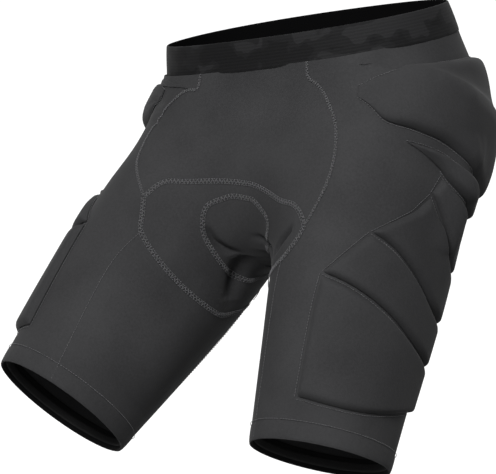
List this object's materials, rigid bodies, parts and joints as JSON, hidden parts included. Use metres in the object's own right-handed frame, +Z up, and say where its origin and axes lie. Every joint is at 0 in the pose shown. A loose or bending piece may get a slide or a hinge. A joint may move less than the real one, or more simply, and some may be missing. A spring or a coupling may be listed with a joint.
{
  "type": "padded impact shorts",
  "caption": "Snug padded impact shorts for skiing: stretch body with elastic waistband, segmented foam pads on hips and thighs, a crotch seat pad and gripping hems, legs part bent.",
  "frame": {"origin": "centre of the waist opening, in the plane of its upper edge", "axes": "+Z up out of the waist, -Y towards the front of the shorts, +X to the wearer's left"},
  "size_m": [0.4688, 0.4688, 0.4497],
  "materials": {
    "stretch_fabric": "matt knit, dark charcoal",
    "pad_fabric": "matt knit laminated to foam",
    "waist_elastic": "woven elastic, tonal pattern",
    "flatlock_thread": "grey polyester thread",
    "pocket_mesh": "open black mesh",
    "seat_pad_fabric": "brushed seat pad cover",
    "seat_pad_foam": "closed-cell foam",
    "hem_silicone": "silicone dots on tape"
  },
  "bodies": {
    "seat": {"waistband": "waist_elastic", "front_panel": "stretch_fabric", "seat_panel": "stretch_fabric", "crotch_gusset": "stretch_fabric", "seat_pad_foam": "seat_pad_foam", "seat_pad_cover": "seat_pad_fabric", "left_hip_panel": "stretch_fabric", "right_hip_panel": "stretch_fabric", "left_groin_stretch_panel": "stretch_fabric", "right_groin_stretch_panel": "stretch_fabric", "left_glute_stretch_panel": "stretch_fabric", "right_glute_stretch_panel": "stretch_fabric", "left_hip_pad_1": "pad_fabric", "right_hip_pad_1": "pad_fabric", "left_hip_pad_2": "pad_fabric", "right_hip_pad_2": "pad_fabric", "left_tailbone_pad": "pad_fabric", "right_tailbone_pad": "pad_fabric", "left_hip_lining": "pocket_mesh", "right_hip_lining": "pocket_mesh", "left_front_seam_thread": "flatlock_thread", "right_front_seam_thread": "flatlock_thread", "left_back_seam_thread": "flatlock_thread", "right_back_seam_thread": "flatlock_thread", "left_arch_thread": "flatlock_thread", "right_arch_thread": "flatlock_thread"},
    "left_leg": {"left_thigh_panel": "stretch_fabric", "left_inner_leg_panel": "stretch_fabric", "left_hem_band": "stretch_fabric", "left_hem_gripper": "hem_silicone", "left_thigh_pad_1": "pad_fabric", "left_thigh_pad_2": "pad_fabric", "left_thigh_pad_3": "pad_fabric", "left_thigh_pad_4": "pad_fabric", "left_thigh_lining": "pocket_mesh", "left_leg_seam_thread": "flatlock_thread", "left_hem_thread": "flatlock_thread"},
    "right_leg": {"right_thigh_panel": "stretch_fabric", "right_inner_leg_panel": "stretch_fabric", "right_hem_band": "stretch_fabric", "right_hem_gripper": "hem_silicone", "right_thigh_pad_1": "pad_fabric", "right_thigh_pad_2": "pad_fabric", "right_thigh_pad_3": "pad_fabric", "right_thigh_pad_4": "pad_fabric", "right_thigh_lining": "pocket_mesh", "right_leg_seam_thread": "flatlock_thread", "right_hem_thread": "flatlock_thread"}
  },
  "joints": [
    {"name": "left_hip_flexion", "type": "hinge", "parent": "seat", "child": "left_leg", "pos_m": [0.08956, -0.07284, -0.16068], "axis": [-0.9981, 0.0332, 0.0512], "range_deg": [-10, 20], "stiffness_Nm_per_rad": 3, "deforming": ["left_groin_stretch_panel", "left_glute_stretch_panel"]},
    {"name": "right_hip_flexion", "type": "hinge", "parent": "seat", "child": "right_leg", "pos_m": [-0.10469, -0.07663, -0.14759], "axis": [-0.9483, 0.2431, 0.204], "range_deg": [-10, 20], "stiffness_Nm_per_rad": 3, "deforming": ["right_groin_stretch_panel", "right_glute_stretch_panel"]}
  ]
}
